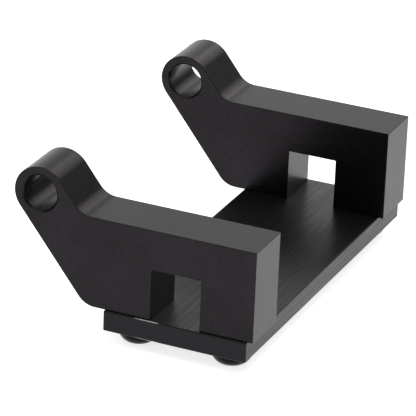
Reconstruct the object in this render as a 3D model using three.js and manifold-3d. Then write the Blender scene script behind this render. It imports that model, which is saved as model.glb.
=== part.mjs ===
// Camera tilt cradle: two bar arms stand on a plate, each held by two screws from below.
// Millimetres. X runs across the arms, Y from their square ends to the eyes, Z up.
// The origin is under the middle of the cradle, level with the crowns of the screw heads.
import * as THREE from 'three';
import { mergeVertices } from 'three/addons/utils/BufferGeometryUtils.js';
import Module from 'manifold-3d';

const wasm = await Module();
wasm.setup();

// Arms, cut from 12.7 mm (half inch) bar. Their outline is seen along X.
const armThickness = 12.7;
const armHeight = 21.2;
const eyeReach = 51.4;        // square end to eye centre
const eyeRise = 24.1;         // plate top to eye centre
const eyeRadius = 6.1;
const boreRadius = 4;
const neckAngle = 51.5 * Math.PI / 180;
const bendRadius = 5;         // where the neck leaves the bar, above and below
const notchStart = 12.6;      // from the square end
const notchEnd = 24.3;
const notchHeight = 11.9;

// Plate, 4.75 mm (3/16 inch) sheet
const plateLength = 89.2;
const plateDepth = 33.9;
const plateThickness = 4.75;
const plateCorner = 0.4;
const armInset = 0.6;         // plate end to the arm's outer face
const seatInset = 0.3;        // side of the seat face to the arm's inner face
const plateSetback = 1.3;     // arms' square ends to the plate's front edge

// Number 10 (4.8 mm) pan head screws
const shankRadius = 2.4;
const shankLength = 12;
const headRadius = 4.7;
const headHeight = 3.25;
const crownRadius = 1.9;
const recessWing = 2.1;       // middle of the head to the tip of a recess wing
const recessWidth = 1.1;
const recessDepth = 2;
const plateHoleRadius = 2.7;
const armHoleRadius = 2.7;
const armHoleDepth = 9.5;
const screwFromFrontEdge = 5.7;
const screwFromRearEdge = 6;
const screwFromArmFace = 5.4;

// Places in the whole object
const depth = eyeReach + eyeRadius;
const frontY = -depth / 2;
const plateFrontY = frontY + plateSetback;
const plateTopZ = headHeight + plateThickness;
const armOuterX = plateLength / 2 - armInset;
const seatHalf = armOuterX - armThickness - seatInset;
const screwX = armOuterX - screwFromArmFace;
const screwYs = {
  front: plateFrontY + screwFromFrontEdge,
  rear: plateFrontY + plateDepth - screwFromRearEdge,
};

const anodised = { color: 0x2b2a2d, roughness: 0.45, metalness: 0.85 };
const brushedAnodised = { color: 0x242426, roughness: 0.35, metalness: 0.9 };
const blackedSteel = { color: 0x1d1c1d, roughness: 0.4, metalness: 0.9 };

function toSolid(geometry) {
  const bare = geometry.clone();
  bare.deleteAttribute('normal');
  bare.deleteAttribute('uv');
  const merged = mergeVertices(bare, 1e-4);
  return new wasm.Manifold(new wasm.Mesh({
    numProp: 3,
    vertProperties: new Float32Array(merged.attributes.position.array),
    triVerts: new Uint32Array(merged.index.array),
  }));
}

function toGeometry(solid) {
  const mesh = solid.getMesh();
  const geometry = new THREE.BufferGeometry();
  geometry.setAttribute('position', new THREE.BufferAttribute(mesh.vertProperties, 3));
  geometry.setIndex(new THREE.BufferAttribute(mesh.triVerts, 1));
  geometry.computeVertexNormals();
  return geometry;
}

function named(name, geometry, finish) {
  const mesh = new THREE.Mesh(geometry, new THREE.MeshStandardMaterial(finish));
  mesh.name = name;
  return mesh;
}

function circleHole(x, y, radius) {
  return new THREE.Path().absarc(x, y, radius, 0, 2 * Math.PI, true);
}

// A drill that has come up through z = 0 to the given height.
function drillUp(x, y, radius, height) {
  const runIn = 1;
  const drill = new THREE.CylinderGeometry(radius, radius, height + runIn, 24);
  drill.rotateX(Math.PI / 2);
  drill.translate(x, y, (height - runIn) / 2);
  return toSolid(drill);
}

// The arm's outline: x along the bar, y up from the plate. The neck's two edges leave the bar at
// neckAngle through a bend each, and run on as tangents of the round eye.
function armOutline() {
  const slope = Math.tan(neckAngle);
  const side = { x: Math.sin(neckAngle) * eyeRadius, y: Math.cos(neckAngle) * eyeRadius };
  const upper = { x: eyeReach - side.x, y: eyeRise + side.y };
  const lower = { x: eyeReach + side.x, y: eyeRise - side.y };
  const tangentLength = bendRadius * Math.tan(neckAngle / 2);
  const upperBendX = upper.x - (upper.y - armHeight) / slope - tangentLength;
  const lowerBendX = lower.x - lower.y / slope - tangentLength;
  const down = -Math.PI / 2;

  const outline = new THREE.Shape();
  outline.moveTo(0, 0);
  outline.lineTo(notchStart, 0);
  outline.lineTo(notchStart, notchHeight);
  outline.lineTo(notchEnd, notchHeight);
  outline.lineTo(notchEnd, 0);
  outline.absarc(lowerBendX, bendRadius, bendRadius, down, down + neckAngle, false);
  outline.absarc(eyeReach, eyeRise, eyeRadius, down + neckAngle, Math.PI / 2 + neckAngle, false);
  outline.absarc(upperBendX, armHeight + bendRadius, bendRadius, down + neckAngle, down, true);
  outline.lineTo(0, armHeight);
  outline.closePath();
  outline.holes.push(circleHole(eyeReach, eyeRise, boreRadius));
  return outline;
}

// lowX is the arm's face with the lower X; the two blind holes open on the arm's underside.
function arm(name, lowX, holeX) {
  const blank = new THREE.ExtrudeGeometry(armOutline(), {
    depth: armThickness, bevelEnabled: false, curveSegments: 20,
  });
  const upright = new THREE.Matrix4().makeBasis(
    new THREE.Vector3(0, 1, 0), new THREE.Vector3(0, 0, 1), new THREE.Vector3(1, 0, 0),
  );
  blank.applyMatrix4(upright);
  const body = Object.values(screwYs).reduce((solid, y) => (
    solid.subtract(drillUp(holeX - lowX, y - frontY, armHoleRadius, armHoleDepth))
  ), toSolid(blank));
  const mesh = named(name, toGeometry(body), anodised);
  mesh.position.set(lowX, frontY, plateTopZ);
  return mesh;
}

// One end of the plate, at the right or the left (side 1 or -1): its outer corners are round, and it
// has a hole for each of its arm's screws. The left one is drawn at the right, and turned half round.
function plateEnd(side) {
  const length = plateLength / 2 - seatHalf;
  const halfDepth = plateDepth / 2;
  const quarterTurn = Math.PI / 2;
  const outline = new THREE.Shape();
  outline.moveTo(0, halfDepth);
  outline.lineTo(0, -halfDepth);
  outline.absarc(length - plateCorner, plateCorner - halfDepth, plateCorner, -quarterTurn, 0, false);
  outline.absarc(length - plateCorner, halfDepth - plateCorner, plateCorner, 0, quarterTurn, false);
  outline.closePath();
  for (const y of Object.values(screwYs)) {
    const fromMiddle = y - plateFrontY - halfDepth;
    outline.holes.push(circleHole(screwX - seatHalf, side * fromMiddle, plateHoleRadius));
  }
  const end = new THREE.ExtrudeGeometry(outline, {
    depth: plateThickness, bevelEnabled: false, curveSegments: 12,
  });
  end.translate(seatHalf, 0, 0);
  if (side < 0) end.rotateZ(Math.PI);
  return toSolid(end);
}

// The seat between the arms keeps an uncut face of its own, and the two ends join on to it.
function basePlate() {
  const seat = new THREE.BoxGeometry(2 * seatHalf, plateDepth, plateThickness);
  seat.translate(0, 0, plateThickness / 2);
  const body = toSolid(seat).add(plateEnd(1)).add(plateEnd(-1));
  const mesh = named('base_plate', toGeometry(body), brushedAnodised);
  mesh.position.set(0, plateFrontY + plateDepth / 2, headHeight);
  return mesh;
}

// Head down, shank up: the crown's flat lies at z = 0, and its shoulder is a quarter ellipse.
function screwBlank() {
  const shoulderSteps = 8;
  const profile = [new THREE.Vector2(0, 0)];
  for (let step = shoulderSteps; step >= 0; step -= 1) {
    const turn = (step / shoulderSteps) * Math.PI / 2;
    profile.push(new THREE.Vector2(
      crownRadius + (headRadius - crownRadius) * Math.cos(turn),
      headHeight * (1 - Math.sin(turn)),
    ));
  }
  const tipChamfer = 0.5;
  const tipZ = headHeight + shankLength;
  profile.push(new THREE.Vector2(shankRadius, headHeight));
  profile.push(new THREE.Vector2(shankRadius, tipZ - tipChamfer));
  profile.push(new THREE.Vector2(shankRadius - tipChamfer, tipZ));
  profile.push(new THREE.Vector2(0, tipZ));
  const lathe = new THREE.LatheGeometry(profile, 32);
  lathe.rotateX(Math.PI / 2);
  return toSolid(lathe);
}

function crossRecess() {
  const outline = new THREE.Shape();
  const half = recessWidth / 2;
  outline.moveTo(recessWing, -half);
  outline.lineTo(recessWing, half);
  outline.lineTo(half, half);
  outline.lineTo(half, recessWing);
  outline.lineTo(-half, recessWing);
  outline.lineTo(-half, half);
  outline.lineTo(-recessWing, half);
  outline.lineTo(-recessWing, -half);
  outline.lineTo(-half, -half);
  outline.lineTo(-half, -recessWing);
  outline.lineTo(half, -recessWing);
  outline.lineTo(half, -half);
  outline.closePath();
  const cutter = new THREE.ExtrudeGeometry(outline, { depth: recessDepth + 1, bevelEnabled: false });
  cutter.translate(0, 0, -1);
  return toSolid(cutter);
}

const cradle = new THREE.Group();
cradle.add(basePlate());
cradle.add(arm('left_arm', -armOuterX, -screwX));
cradle.add(arm('right_arm', armOuterX - armThickness, screwX));

const screwGeometry = toGeometry(screwBlank().subtract(crossRecess()));
for (const [sideName, x] of [['left', -screwX], ['right', screwX]]) {
  for (const [endName, y] of Object.entries(screwYs)) {
    const screw = named(`screw_${sideName}_${endName}`, screwGeometry, blackedSteel);
    screw.position.set(x, y, 0);
    cradle.add(screw);
  }
}

export default cradle;
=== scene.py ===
# Camera tilt cradle: two satin black anodised bar arms on a brushed plate, held by pan head screws.
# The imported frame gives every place. The pieces' and finishes' dictionaries are in millimetres, the
# camera's and the studio's are in metres, and so are the meshes.
import math

import bpy
import numpy as np
from mathutils import Matrix, Vector
from mathutils.geometry import tessellate_polygon


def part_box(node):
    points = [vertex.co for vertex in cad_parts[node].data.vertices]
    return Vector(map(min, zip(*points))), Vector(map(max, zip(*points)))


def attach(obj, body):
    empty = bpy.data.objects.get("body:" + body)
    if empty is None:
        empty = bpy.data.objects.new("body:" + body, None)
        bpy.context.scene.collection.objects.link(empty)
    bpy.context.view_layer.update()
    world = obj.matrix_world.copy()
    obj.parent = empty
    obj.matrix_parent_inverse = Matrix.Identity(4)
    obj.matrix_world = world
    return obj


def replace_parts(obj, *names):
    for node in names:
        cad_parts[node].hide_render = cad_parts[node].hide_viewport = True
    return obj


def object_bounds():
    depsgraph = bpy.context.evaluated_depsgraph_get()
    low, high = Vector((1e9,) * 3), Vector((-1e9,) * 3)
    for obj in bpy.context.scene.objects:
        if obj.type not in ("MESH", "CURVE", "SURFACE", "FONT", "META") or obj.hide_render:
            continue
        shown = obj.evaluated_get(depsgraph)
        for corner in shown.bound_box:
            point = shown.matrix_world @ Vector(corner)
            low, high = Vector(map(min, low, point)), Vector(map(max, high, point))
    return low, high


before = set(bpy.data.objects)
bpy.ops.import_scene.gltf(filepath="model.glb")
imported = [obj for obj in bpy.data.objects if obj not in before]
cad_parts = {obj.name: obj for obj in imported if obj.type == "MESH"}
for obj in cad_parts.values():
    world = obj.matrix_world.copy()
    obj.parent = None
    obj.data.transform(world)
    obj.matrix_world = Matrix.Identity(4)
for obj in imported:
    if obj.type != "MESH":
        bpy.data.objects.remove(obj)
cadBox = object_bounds()
mm = 0.001
print("frame loaded:", ", ".join(sorted(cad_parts)))


def nodeBox(node):
    # lowest and highest corner of a CAD node, in millimetres
    low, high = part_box(node)
    return np.array(low) / mm, np.array(high) / mm


# camera, floor and light

shot = {
    "azimuth": -66.67,      # degrees, 0 looks along +Y
    "elevation": 23.71,
    "roll": 2.44,
    "distance": 0.7984,
    "lens": 307.0,          # millimetres, as is the sensor's width
    "sensor": 36,
    "clip": (0.05, 20),
    "aim": (-0.00315, 0.00059, -0.00143),   # from the middle of the object
}


def placeCamera():
    az, el, roll = (math.radians(shot[k]) for k in ("azimuth", "elevation", "roll"))
    back = Vector((math.sin(az) * math.cos(el), -math.cos(az) * math.cos(el), math.sin(el)))
    level = Vector((0, 0, 1)).cross(back).normalized()
    plumb = back.cross(level)
    right = math.cos(roll) * level + math.sin(roll) * plumb
    up = back.cross(right)
    data = bpy.data.cameras.new("camera")
    data.lens = shot["lens"]
    data.sensor_width = shot["sensor"]
    data.clip_start, data.clip_end = shot["clip"]
    camera = bpy.data.objects.new("camera", data)
    middle = (Vector(cadBox[0]) + Vector(cadBox[1])) / 2
    place = middle + Vector(shot["aim"]) + back * shot["distance"]
    turn = Matrix((right, up, back)).transposed().to_4x4()
    camera.matrix_world = Matrix.Translation(place) @ turn
    bpy.context.collection.objects.link(camera)
    bpy.context.scene.camera = camera


placeCamera()
bpy.context.scene.view_settings.view_transform = "Standard"
print("camera placed")


def linear(hexColour):
    # sRGB hex to linear red, green, blue and an alpha of 1
    srgb = np.array([int(hexColour[i:i + 2], 16) for i in (0, 2, 4)]) / 255
    low, high = srgb / 12.92, ((srgb + 0.055) / 1.055) ** 2.4
    return (*np.where(srgb <= 0.04045, low, high).tolist(), 1.0)


def addNode(tree, kind, links=None, stops=(), **settings):
    # settings name a socket by its label or an attribute; links give a socket its source, which is
    # a socket or else a node, for its first output; stops are a colour ramp's places and hex colours
    node = tree.nodes.new(kind)
    for key, value in settings.items():
        label = key.replace("_", " ")
        if label in node.inputs:
            node.inputs[label].default_value = value
        else:
            setattr(node, key, value)
    for element, (position, hexColour) in zip(node.color_ramp.elements if stops else (), stops):
        element.position, element.color = position, linear(hexColour)
    for label, source in (links or {}).items():
        if isinstance(source, bpy.types.Node):
            source = next(output for output in source.outputs if output.enabled)
        tree.links.new(source, node.inputs[label])
    return node


def newMaterial(name):
    material = bpy.data.materials.new(name)
    material.use_nodes = True
    material.node_tree.nodes.clear()
    return material, material.node_tree


studio = {
    "floorColour": "f5f5f5",
    "floorReach": 4.0,          # middle to sides
    "floorGap": 0.05 * mm,      # keeps the floor clear of the screws' flat crowns
    "floorTooth": 2.5 * mm,     # size of its faint bumps
    "floorGlow": (0.84, 0.3),   # the floor is a light table, brightest under the object
    "floorFade": (0.08, 0.35),  # from the middle, where the glow starts and stops fading
    "roomColour": "ffffff",
    "roomStrength": 0.34,
    "softboxColour": "fffcf9",
    # each softbox: its size, where it stands, where it points, and watts
    "softboxes": {
        "overhead": {"size": (1.6, 1.6), "at": (-0.1, 0.1, 1.2), "to": (0, 0, 0), "watts": 8},
        "backRight": {"size": (1.6, 1.0), "at": (1.3, 0.6, 0.5), "to": (0, 0, 0.02), "watts": 3.8},
        "rightFront": {"size": (0.62, 0.5), "at": (0.985, -0.2, 0.67), "to": (0, 0, 0.02),
                       "watts": 1.75},
    },
}


def milkyAcrylic():
    # Milky acrylic over a light table: flat and pale, lit a little from below, with a faint tooth
    # that only shows close up.
    material, tree = newMaterial("milkyAcrylic")
    place = addNode(tree, "ShaderNodeTexCoord").outputs["Object"]
    tooth = addNode(tree, "ShaderNodeTexNoise", {"Vector": place}, Scale=1 / studio["floorTooth"],
                    Detail=2.0)
    bump = addNode(tree, "ShaderNodeBump", {"Height": tooth}, Strength=0.05, Distance=0.2 * mm)
    away = addNode(tree, "ShaderNodeVectorMath", {0: place}, operation="LENGTH")
    (near, far), (start, stop) = studio["floorGlow"], studio["floorFade"]
    glow = addNode(tree, "ShaderNodeMapRange", {"Value": away},
                   From_Min=start, From_Max=stop, To_Min=near, To_Max=far)
    colour = linear(studio["floorColour"])
    paint = addNode(tree, "ShaderNodeBsdfPrincipled", {"Normal": bump, "Emission Strength": glow},
                    Base_Color=colour, Roughness=0.8, Emission_Color=colour)
    addNode(tree, "ShaderNodeOutputMaterial", {"Surface": paint})
    return material


def buildStudio():
    reach, gap = studio["floorReach"], studio["floorGap"]
    corners = [(x * reach, y * reach, -gap) for x, y in ((-1, -1), (1, -1), (1, 1), (-1, 1))]
    mesh = bpy.data.meshes.new("floor")
    mesh.from_pydata(corners, [], [(0, 1, 2, 3)])
    floor = bpy.data.objects.new("floor", mesh)
    bpy.context.collection.objects.link(floor)
    mesh.materials.append(milkyAcrylic())

    world = bpy.data.worlds.new("room")
    world.use_nodes = True
    sky = world.node_tree.nodes["Background"]
    sky.inputs["Color"].default_value = linear(studio["roomColour"])
    sky.inputs["Strength"].default_value = studio["roomStrength"]
    bpy.context.scene.world = world

    for name, box in studio["softboxes"].items():
        data = bpy.data.lights.new(name, "AREA")
        data.shape = "RECTANGLE"
        data.size, data.size_y = box["size"]
        data.energy = box["watts"]
        data.color = linear(studio["softboxColour"])[:3]
        lamp = bpy.data.objects.new(name, data)
        lamp.location = box["at"]
        lamp.rotation_mode = "QUATERNION"
        lamp.rotation_quaternion = (Vector(box["to"]) - Vector(box["at"])).to_track_quat("-Z", "Y")
        bpy.context.collection.objects.link(lamp)


buildStudio()
print("floor and lights built")


# finishes

bumpDepth = 0.05 * mm       # of every finish's grain or lines

satin = {
    "grain": (0.45, 0.45, 0.45),    # 0.15 in life, drawn as fine as shows
    "cloud": (14, 14, 14),
    "sawLines": (0.5, 0.5, 30),     # upright, on the sawn end
    "sawShare": 0.5,                # how far they take the grain's place there
    "tints": ((0.36, "221f22"), (0.64, "2a282b")),
    "roughness": (0.27, 0.32),      # changes with the cloud
    "bump": 0.65,
    "haze": 0.08,                   # weight of a rough coat
    "hazeRoughness": 0.6,
}

brushed = {
    "lines": (12, 0.3, 0.3),        # 0.1 apart in life, drawn 0.3 apart, and some 12 long
    "bands": (50, 3, 3),            # brighter and darker runs of lines
    "tints": ((0.05, "131214"), (0.95, "363538")),
    "roughness": (0.39, 0.29),      # from the dark lines to the bright ones
    "bump": 0.15,
    "haze": 0.4,                    # on the two broad faces only
    "hazeRoughness": 0.6,
    # painted highlight: a pale streak laid on the left end's two edge rounds, where light glints off
    # them
    "edgeHighlightColour": "b4b3b4",
    "edgeHighlightPatch": (1, 1.6, 1),
    "edgeHighlightRun": ((-6.9, -6.2), (-0.7, -2.3)),    # along Y, where each end is gone and where it is full
}

oxideAndShade = {
    "grain": (0.8, 0.8, 0.8),
    # painted shade: darker than black oxide's own near-black, standing in for the shade under the plate
    "tints": ((0.3, "151416"), (0.75, "1c1b1d")),
    "roughness": (0.27, 0.38),
    "bump": 0.1,
}


def noisePattern(tree, place, size, detail):
    # noise whose features have the given size in millimetres, along X, Y and Z
    scale = tuple(1 / (mm * length) for length in size)
    scaled = addNode(tree, "ShaderNodeMapping", {"Vector": place}, Scale=scale)
    return addNode(tree, "ShaderNodeTexNoise", {"Vector": scaled}, Scale=1.0, Detail=detail)


def satinAnodised():
    # Bar aluminium, milled, bead-smoothed and anodised black: a satin black that goes grey where it
    # faces the light, with a fine grain, faint cloudy changes in gloss, and a haze over it all. The
    # sawn square end keeps faint upright saw lines.
    material, tree = newMaterial("satinBlackAnodisedAluminium")
    texture = addNode(tree, "ShaderNodeTexCoord")
    place = texture.outputs["Object"]
    facing = addNode(tree, "ShaderNodeSeparateXYZ", {"Vector": texture.outputs["Normal"]})
    sawn = addNode(tree, "ShaderNodeMapRange", {"Value": facing.outputs["Y"]},
                   From_Min=-0.8, From_Max=-0.97, To_Max=satin["sawShare"])
    grain = noisePattern(tree, place, satin["grain"], 2.0)
    cloud = noisePattern(tree, place, satin["cloud"], 3.0)
    sawLines = noisePattern(tree, place, satin["sawLines"], 2.0)
    lined = addNode(tree, "ShaderNodeMix", {"Factor": sawn, "A": grain, "B": sawLines})
    mixed = addNode(tree, "ShaderNodeMix", {"A": cloud, "B": lined}, Factor=0.55)
    tint = addNode(tree, "ShaderNodeValToRGB", {"Fac": mixed}, stops=satin["tints"])
    glossy, dull = satin["roughness"]
    gloss = addNode(tree, "ShaderNodeMapRange", {"Value": cloud},
                    From_Min=0.3, From_Max=0.7, To_Min=glossy, To_Max=dull)
    bump = addNode(tree, "ShaderNodeBump", {"Height": lined}, Strength=satin["bump"],
                   Distance=bumpDepth)
    metal = addNode(tree, "ShaderNodeBsdfPrincipled",
                    {"Base Color": tint, "Roughness": gloss, "Normal": bump}, Metallic=1.0,
                    Coat_Weight=satin["haze"], Coat_Roughness=satin["hazeRoughness"])
    addNode(tree, "ShaderNodeOutputMaterial", {"Surface": metal})
    return material


def paintedEdgeHighlight(tree, place, facing, upright):
    # How strong the painted highlight is, 0 to 1: patches on the left end's two edge rounds, along the
    # run in Y. Each limit goes from 0, where its value says gone, to all that the limits before it have
    # left.
    along = addNode(tree, "ShaderNodeSeparateXYZ", {"Vector": place}).outputs["Y"]
    patch = noisePattern(tree, place, brushed["edgeHighlightPatch"], 2.0)
    highlightShare = addNode(tree, "ShaderNodeMapRange", {"Value": patch}, From_Min=0.35, From_Max=0.5)
    limits = [(along, gone * mm, full * mm) for gone, full in brushed["edgeHighlightRun"]]
    limits += [(facing.outputs["X"], -0.25, -0.4), (upright, 0.3, 0.45)]
    for value, gone, full in limits:
        highlightShare = addNode(tree, "ShaderNodeMapRange", {"Value": value, "To Max": highlightShare},
                       From_Min=gone, From_Max=full)
    return highlightShare


def brushedAnodised():
    # Sheet aluminium, brushed along X and anodised black: fine parallel lines, some brighter than
    # others, under a soft haze. Its deburred edges are plain satin, and a pale painted highlight is
    # laid on the left end's two edge rounds for a few millimetres.
    material, tree = newMaterial("brushedBlackAnodisedAluminium")
    texture = addNode(tree, "ShaderNodeTexCoord")
    place = texture.outputs["Object"]
    facing = addNode(tree, "ShaderNodeSeparateXYZ", {"Vector": texture.outputs["Normal"]})
    upright = addNode(tree, "ShaderNodeMath", {0: facing.outputs["Z"]}, operation="ABSOLUTE")
    broadFace = addNode(tree, "ShaderNodeMapRange", {"Value": upright}, From_Min=0.6, From_Max=0.9)
    lines = noisePattern(tree, place, brushed["lines"], 3.0)
    bands = noisePattern(tree, place, brushed["bands"], 2.0)
    sharp = addNode(tree, "ShaderNodeMapRange", {"Value": lines}, From_Min=0.38, From_Max=0.62)
    both = addNode(tree, "ShaderNodeMix", {"A": sharp, "B": bands}, Factor=0.25)
    streaks = addNode(tree, "ShaderNodeMix", {"Factor": broadFace, "B": both}, A=0.5)
    tint = addNode(tree, "ShaderNodeValToRGB", {"Fac": streaks}, stops=brushed["tints"])
    # the painted edge highlight is mixed into the plate's colour here
    colour = addNode(tree, "ShaderNodeMix",
                     {"Factor": paintedEdgeHighlight(tree, place, facing, upright), "A": tint},
                     data_type="RGBA", B=linear(brushed["edgeHighlightColour"]))
    dull, glossy = brushed["roughness"]
    gloss = addNode(tree, "ShaderNodeMapRange", {"Value": lines},
                    From_Min=0.35, From_Max=0.65, To_Min=dull, To_Max=glossy)
    height = addNode(tree, "ShaderNodeMath", {0: lines, 1: broadFace}, operation="MULTIPLY")
    bump = addNode(tree, "ShaderNodeBump", {"Height": height}, Strength=brushed["bump"],
                   Distance=bumpDepth)
    haze = addNode(tree, "ShaderNodeMapRange", {"Value": broadFace}, To_Max=brushed["haze"])
    metal = addNode(tree, "ShaderNodeBsdfPrincipled",
                    {"Base Color": colour, "Roughness": gloss, "Normal": bump, "Coat Weight": haze},
                    Metallic=1.0, Coat_Roughness=brushed["hazeRoughness"])
    addNode(tree, "ShaderNodeOutputMaterial", {"Surface": metal})
    return material


def blackOxideAndShade():
    # Cold-headed steel with a black oxide: an even near-black, about as glossy as the anodising, and
    # darker than the oxide's own tone, as painted shade for the heads under the plate
    material, tree = newMaterial("blackOxideSteelAndShade")
    place = addNode(tree, "ShaderNodeTexCoord").outputs["Object"]
    grain = noisePattern(tree, place, oxideAndShade["grain"], 3.0)
    tint = addNode(tree, "ShaderNodeValToRGB", {"Fac": grain}, stops=oxideAndShade["tints"])
    glossy, dull = oxideAndShade["roughness"]
    gloss = addNode(tree, "ShaderNodeMapRange", {"Value": grain},
                    From_Min=0.3, From_Max=0.7, To_Min=glossy, To_Max=dull)
    bump = addNode(tree, "ShaderNodeBump", {"Height": grain}, Strength=oxideAndShade["bump"],
                   Distance=bumpDepth)
    metal = addNode(tree, "ShaderNodeBsdfPrincipled",
                    {"Base Color": tint, "Roughness": gloss, "Normal": bump}, Metallic=1.0)
    addNode(tree, "ShaderNodeOutputMaterial", {"Surface": metal})
    return material


finishes = {"arm": satinAnodised(), "plate": brushedAnodised(), "screw": blackOxideAndShade()}
print("finishes made:", ", ".join(m.name for m in finishes.values()))


# surfaces

def arcLoop(arcs):
    # A closed outline of arcs joined by straight stretches. Each arc is (centre u, centre v, radius,
    # start, end, steps) in degrees: p(t) = c + r (cos t, sin t). The outline runs anticlockwise, so an
    # arc whose angle grows bulges out and one whose angle falls is hollow. Returns points, outward
    # normals, and the index of each arc's last point, where a straight stretch starts.
    points, normals, lasts = [], [], []
    for u, v, radius, start, end, steps in arcs:
        t = np.radians(np.linspace(start, end, steps + 1))
        ray = np.stack([np.cos(t), np.sin(t)], 1)
        points.append(np.array([u, v]) + radius * ray)
        normals.append(ray if end > start else -ray)
        lasts.append(sum(map(len, points)) - 1)
    return np.concatenate(points), np.concatenate(normals), lasts


def holeLoop(u, v, radius, steps):
    # a round hole, run clockwise: p(t) = c + r (cos t, -sin t), with the normal towards its centre
    t = np.arange(steps) * 2 * np.pi / steps
    ray = np.stack([np.cos(t), -np.sin(t)], 1)
    return np.array([u, v]) + radius * ray, -ray


def easedWall(low, high, ease):
    # The section of a wall between two flat ends, with both edges eased by a quarter circle, as rings
    # (w, inset, a): w = low + e (1 - sin t) and inset = e (1 - cos t), with t from 90 degrees to 0, and
    # the normal leaning towards the low end by t, so a = -t. High has the mirror image of that.
    steps = 5
    t = np.radians(np.linspace(90, 0, steps + 1))
    inset = ease * (1 - np.cos(t))
    near, far = low + ease * (1 - np.sin(t)), high - ease * (1 - np.sin(t))
    return (np.concatenate([near, far[::-1]]), np.concatenate([inset, inset[::-1]]),
            np.concatenate([-t, t[::-1]]))


def chamferedWall(low, high, cut):
    # The same with both edges cut at 45 degrees. The cut is flat from start to stop, which are shares
    # of its depth, and a slight round joins it to the flat end and to the wall.
    start, stop = 0.14, 0.92
    along = np.array([0, start, stop, 1]) * cut
    inset = np.array([1, stop, start, 0]) * cut
    t = np.radians([90, 45, 45, 0])
    return (np.concatenate([low + along, (high - along)[::-1]]), np.concatenate([inset, inset[::-1]]),
            np.concatenate([-t, t[::-1]]))


def flatFill(outer, *holes):
    # triangles between an outer loop and its holes, anticlockwise, as places in the loops' joined list
    loops = [outer, *holes]
    points = np.concatenate(loops)
    triangles = np.array(tessellate_polygon([[Vector((u, v, 0)) for u, v in loop] for loop in loops]))
    a, b, c = (points[triangles[:, k]] for k in range(3))
    area = (b[:, 0] - a[:, 0]) * (c[:, 1] - a[:, 1]) - (b[:, 1] - a[:, 1]) * (c[:, 0] - a[:, 0])
    triangles[area < 0] = triangles[area < 0][:, ::-1]
    return triangles


class Skin:
    # one closed surface, gathered in its own u, v, w, which toSpace turns into the object's X, Y, Z
    def __init__(self, toSpace):
        self.toSpace = toSpace
        self.points, self.normals, self.faces = [], [], []

    def add(self, points, normals):
        # gives back the new points' numbers
        first = sum(map(len, self.points))
        self.points.append(np.asarray(points, float))
        self.normals.append(np.broadcast_to(normals, np.shape(points)))
        return first + np.arange(len(points))

    def joinRings(self, low, high, keep=slice(None)):
        # quads between two rings of the same length, which run the same way
        quads = np.stack([low, np.roll(low, -1), np.roll(high, -1), high], 1)
        self.faces.extend(quads[keep].tolist())

    def fill(self, numbers, triangles, turned=False):
        self.faces.extend(numbers[triangles[:, ::-1] if turned else triangles].tolist())

    def addPrism(self, outline, holes, low, high, ease, cut, gaps=()):
        # Carries a wall round each loop, eased at the outline and chamfered at the holes:
        # P(i, k) = p_i - n_i inset_k at height w_k, with normal n_i cos a_k + w sin a_k. Closes the two
        # flat ends. gaps names the straight stretches of the outline whose flat wall is left out.
        # Returns the outline's rings beside that wall.
        walls = []
        for number, (points, normals) in enumerate([outline, *holes]):
            section = chamferedWall(low, high, cut) if number else easedWall(low, high, ease)
            rings = []
            for w, inset, a in zip(*section):
                flat = points - normals * inset
                place = np.column_stack([flat, np.full(len(flat), w)])
                facing = np.column_stack([normals * np.cos(a), np.full(len(flat), np.sin(a))])
                rings.append((self.add(place, facing), flat))
            keep = np.ones(len(points), bool)
            keep[[] if number else list(gaps)] = False
            flatWall = len(rings) // 2 - 1
            for k, ((lower, _), (upper, _)) in enumerate(zip(rings, rings[1:])):
                self.joinRings(lower, upper, keep if k == flatWall else slice(None))
            walls.append(rings)
        for end in (0, -1):
            triangles = flatFill(*(rings[end][1] for rings in walls))
            self.fill(np.concatenate([rings[end][0] for rings in walls]), triangles, turned=end == 0)
        flatWall = len(walls[0]) // 2 - 1
        return walls[0][flatWall][0], walls[0][flatWall + 1][0]

    def toPiece(self, name, finish):
        mesh = bpy.data.meshes.new(name)
        points = self.toSpace(np.concatenate(self.points), True) * mm
        mesh.from_pydata(points.tolist(), [], self.faces)
        mesh.polygons.foreach_set("use_smooth", np.ones(len(mesh.polygons), bool))
        mesh.update()
        normals = self.toSpace(np.concatenate(self.normals), False)
        mesh.normals_split_custom_set_from_vertices(normals.tolist())
        return newPiece(mesh, finish)


def newPiece(mesh, finish):
    mesh.materials.append(finishes[finish])
    piece = bpy.data.objects.new(mesh.name, mesh)
    bpy.context.collection.objects.link(piece)
    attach(piece, "root")
    return piece


print("surface tools ready")


# arms

armShape = {
    "height": 21.2,         # of the bar, above the plate
    "eyeReach": 51.4,       # square end to eye centre
    "eyeRise": 24.1,
    "eyeRadius": 6.1,
    "boreRadius": 4.0,
    "neckAngle": 51.5,      # degrees
    "bendRadius": 5.0,
    "notchStart": 12.6,
    "notchEnd": 24.3,
    "notchHeight": 11.9,
    "corner": 0.15,         # small rounds at the outline's corners
    "ease": 0.12,           # along the outer edges
    "boreCut": 0.45,        # chamfer at both ends of the bore
    "tapRadius": 2.7,
    "tapDepth": 9.5,
    "tapEase": 0.2,
    "drillPoint": 1.4,      # above the full depth
}


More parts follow.
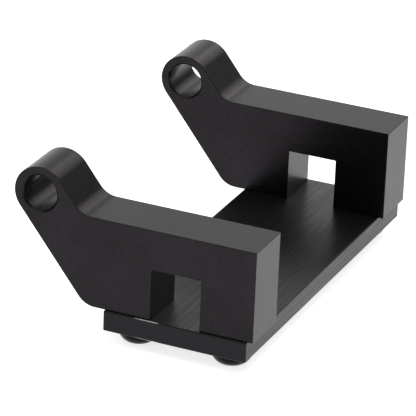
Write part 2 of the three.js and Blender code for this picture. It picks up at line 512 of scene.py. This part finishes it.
def armLoop():
    # The outline seen from +X: u runs back from the square end and v up from the plate. It goes along
    # the underside, round the notch, up the neck, round the eye, and back along the top.
    cornerSteps, hollowSteps, bendSteps, eyeSteps = 6, 4, 20, 64
    s = armShape
    lean, c, bend = s["neckAngle"], s["corner"], s["bendRadius"]
    slope, slack = math.tan(math.radians(lean)), bend * math.tan(math.radians(lean / 2))
    sideU, sideV = (f(math.radians(lean)) * s["eyeRadius"] for f in (math.sin, math.cos))
    lowerU = s["eyeReach"] + sideU - (s["eyeRise"] - sideV) / slope - slack
    upperU = s["eyeReach"] - sideU - (s["eyeRise"] + sideV - s["height"]) / slope - slack
    return arcLoop([
        (c, c, c, 180, 270, cornerSteps),
        (s["notchStart"] - c, c, c, 270, 360, cornerSteps),
        (s["notchStart"] + c, s["notchHeight"] - c, c, 180, 90, hollowSteps),
        (s["notchEnd"] - c, s["notchHeight"] - c, c, 90, 0, hollowSteps),
        (s["notchEnd"] + c, c, c, 180, 270, cornerSteps),
        (lowerU, bend, bend, 270, 270 + lean, bendSteps),
        (s["eyeReach"], s["eyeRise"], s["eyeRadius"], lean - 90, lean + 90, eyeSteps),
        (upperU, s["height"] + bend, bend, 270 + lean, 270, bendSteps),
        (c, s["height"] - c, c, 90, 180, cornerSteps),
    ])


def addTap(skin, walls, stretch, u, w):
    # A blind drilled hole up from the flat foot on one straight stretch of the outline, round (u, w):
    # rings of radius r at height v, p(t) = (u + r cos t, v, w + r sin t), and a drill point on top.
    steps = 40
    s = armShape
    low, high = walls
    corners = np.array([low[stretch], low[stretch + 1], high[stretch + 1], high[stretch]])
    places = np.concatenate(skin.points)[corners]
    t = np.arange(steps) * 2 * np.pi / steps
    down = np.array([0.0, -1.0, 0.0])
    inward = np.column_stack([-np.cos(t), np.zeros(steps), -np.sin(t)])
    section = [
        (s["tapRadius"] + s["tapEase"], 0, down),
        (s["tapRadius"], s["tapEase"], inward),
        (s["tapRadius"], s["tapDepth"], inward),
    ]
    rings = []
    for radius, v, facing in section:
        ring = np.column_stack([u + radius * np.cos(t), np.full(steps, v), w + radius * np.sin(t)])
        rings.append((skin.add(ring, facing), ring[:, ::2]))
    tip = skin.add([[u, s["tapDepth"] + s["drillPoint"], w]], down)
    skin.fill(np.concatenate([corners, rings[0][0]]), flatFill(places[:, ::2], rings[0][1]))
    for (below, _), (above, _) in zip(rings, rings[1:]):
        skin.joinRings(below, above)
    top = rings[-1][0]
    skin.faces.extend([a, b, int(tip[0])] for a, b in zip(top.tolist(), np.roll(top, -1).tolist()))


def makeArm(node, screws):
    # screws: each screw's node, and the foot that it stands in
    boreSteps = 96
    s = armShape
    low, high = nodeBox(node)
    origin = np.array([0.0, low[1], low[2]])
    points, normals, lasts = armLoop()
    skin = Skin(lambda p, placed: p[:, [2, 0, 1]] + origin * placed)
    bore = holeLoop(s["eyeReach"], s["eyeRise"], s["boreRadius"], boreSteps)
    feet = {"front": lasts[0], "rear": lasts[4]}
    walls = skin.addPrism((points, normals), [bore], low[0], high[0], s["ease"], s["boreCut"],
                          gaps=feet.values())
    for screw, foot in screws.items():
        middle = sum(nodeBox(screw)) / 2
        addTap(skin, walls, feet[foot], middle[1] - low[1], middle[0])
    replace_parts(skin.toPiece(node + "_machined", "arm"), node)


for side in ("left", "right"):
    makeArm(side + "_arm", {f"screw_{side}_{foot}": foot for foot in ("front", "rear")})
print("arms made")


# plate

plateShape = {
    "corner": 0.4,
    "ease": 0.3,
    "holeRadius": 2.7,
    "holeCut": 0.2,
}


def makePlate():
    # a rectangle with round corners, seen from above, with a hole for each screw
    cornerSteps, holeSteps = 10, 48
    s = plateShape
    low, high = nodeBox("base_plate")
    c = s["corner"]
    (x0, y0), (x1, y1) = low[:2] + c, high[:2] - c
    points, normals, _ = arcLoop([
        (x0, y0, c, 180, 270, cornerSteps),
        (x1, y0, c, 270, 360, cornerSteps),
        (x1, y1, c, 0, 90, cornerSteps),
        (x0, y1, c, 90, 180, cornerSteps),
    ])
    middles = [sum(nodeBox(node)) / 2 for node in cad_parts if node.startswith("screw")]
    holes = [holeLoop(m[0], m[1], s["holeRadius"], holeSteps) for m in middles]
    skin = Skin(lambda p, placed: p)
    skin.addPrism((points, normals), holes, low[2], high[2], s["ease"], s["holeCut"])
    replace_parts(skin.toPiece("seat_plate", "plate"), "base_plate")


makePlate()
print("plate made")


# screws

screwShape = {
    "crownRadius": 1.9,
    "headRadius": 4.7,
    "headHeight": 3.25,
    "wing": 2.1,            # middle of the cross to the tip of a wing
    "halfWidth": 0.55,      # of a wing
    "rimRadius": 2.5,       # where the rings round the cross have become circles
    "recessDepth": 2.0,
    # rings inside the cross, from its point up: shares of its reach and of its depth
    "recessRings": ((0.4, 1.0), (0.82, 0.85)),
    "shankRadius": 2.4,
    "threadDepth": 0.45,
    "pitch": 0.79,
    "tipChamfer": 0.5,
    "sharpAngle": 40,       # degrees; a steeper edge is shown sharp
    # how far each cross is turned, in degrees, as the screws happened to be left
    "turns": {
        "screw_left_front": 12,
        "screw_left_rear": 57,
        "screw_right_front": 33,
        "screw_right_rear": 79,
    },
}


def crossReach(t):
    # Distance from the middle to the edge of a cross, at angle t: within a quarter, x = wing up to the
    # wing's corner, then y = halfWidth up to the inner corner at 45 degrees.
    folded = np.abs((t + np.pi / 4) % (np.pi / 2) - np.pi / 4)
    tipReach = screwShape["wing"] / np.cos(folded)
    sideReach = screwShape["halfWidth"] / np.maximum(np.sin(folded), 1e-6)
    return np.minimum(tipReach, sideReach)


def headHeightAt(r):
    # flat crown, then a quarter ellipse: z = h (1 - sin t) where r = crown + (head - crown) cos t
    s = screwShape
    reach = np.clip((r - s["crownRadius"]) / (s["headRadius"] - s["crownRadius"]), 0, 1)
    return s["headHeight"] * (1 - np.sqrt(1 - reach ** 2))


def screwRings(length):
    # Angles round the axis, and rings (r, z) of them from the recess's point, up its walls, over the
    # head, and along the thread to the tip: r = shank - depth |2 frac(z / pitch - t / 360) - 1|.
    tipPoints, sidePoints, rimRings, headRings, ringsPerTurn = 5, 15, 5, 14, 6
    s = screwShape
    cornerAngle = math.atan2(s["halfWidth"], s["wing"])
    quarter = np.concatenate([np.linspace(-cornerAngle, cornerAngle, tipPoints),
                              np.linspace(cornerAngle, np.pi / 2 - cornerAngle, sidePoints)[1:-1]])
    t = (np.arange(4)[:, None] * np.pi / 2 + quarter).ravel()
    reach, level = crossReach(t), np.ones(len(t))
    rings = [(reach * across, level * s["recessDepth"] * down) for across, down in s["recessRings"]]
    for share in np.linspace(0, 1, rimRings):
        r = reach + share * (s["rimRadius"] - reach)
        rings.append((r, headHeightAt(r)))
    shoulder = s["headRadius"] - s["crownRadius"]
    start = math.acos((s["rimRadius"] - s["crownRadius"]) / shoulder)
    for turn in np.linspace(start, 0, headRings)[1:]:
        r = s["crownRadius"] + shoulder * math.cos(turn)
        rings.append((level * r, level * s["headHeight"] * (1 - math.sin(turn))))
    chamfered = length - s["tipChamfer"]
    for z in np.arange(s["headHeight"], chamfered, s["pitch"] / ringsPerTurn):
        wave = np.abs(2 * ((z / s["pitch"] - t / (2 * np.pi)) % 1) - 1)
        # the thread fades in over two turns from the head, and out over the last one
        fade = min(1, (z - s["headHeight"]) / (2 * s["pitch"]), (chamfered - z) / s["pitch"])
        rings.append((s["shankRadius"] - s["threadDepth"] * wave * fade, level * z))
    rings.append((level * s["shankRadius"], level * chamfered))
    rings.append((level * (s["shankRadius"] - s["tipChamfer"]), level * length))
    r, z = (np.array(column) for column in zip(*rings))
    return t, r, z


def makeScrew(node):
    # the rings as a grid of quads, closed by a fan at the recess's point and one at the tip
    s = screwShape
    low, high = nodeBox(node)
    x, y, _ = (low + high) / 2
    t, r, z = screwRings(high[2] - low[2])
    turned = t + math.radians(s["turns"][node])
    grid = np.stack([x + r * np.cos(turned), y + r * np.sin(turned), low[2] + z], 2)
    poles = [[x, y, low[2] + s["recessDepth"]], [x, y, high[2]]]
    points = np.concatenate([grid.reshape(-1, 3), poles]) * mm
    numbers = np.arange(r.size).reshape(r.shape)
    ahead = np.roll(numbers, -1, axis=1)
    quads = np.stack([numbers[:-1], ahead[:-1], ahead[1:], numbers[1:]], 2).reshape(-1, 4)
    first = [[r.size, b, a] for a, b in zip(numbers[0].tolist(), ahead[0].tolist())]
    last = [[r.size + 1, a, b] for a, b in zip(numbers[-1].tolist(), ahead[-1].tolist())]
    mesh = bpy.data.meshes.new(node + "_threaded")
    mesh.from_pydata(points.tolist(), [], quads.tolist() + first + last)
    mesh.polygons.foreach_set("use_smooth", np.ones(len(mesh.polygons), bool))
    mesh.set_sharp_from_angle(angle=math.radians(s["sharpAngle"]))
    mesh.update()
    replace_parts(newPiece(mesh, "screw"), node)


for node in screwShape["turns"]:
    makeScrew(node)
print("screws made")
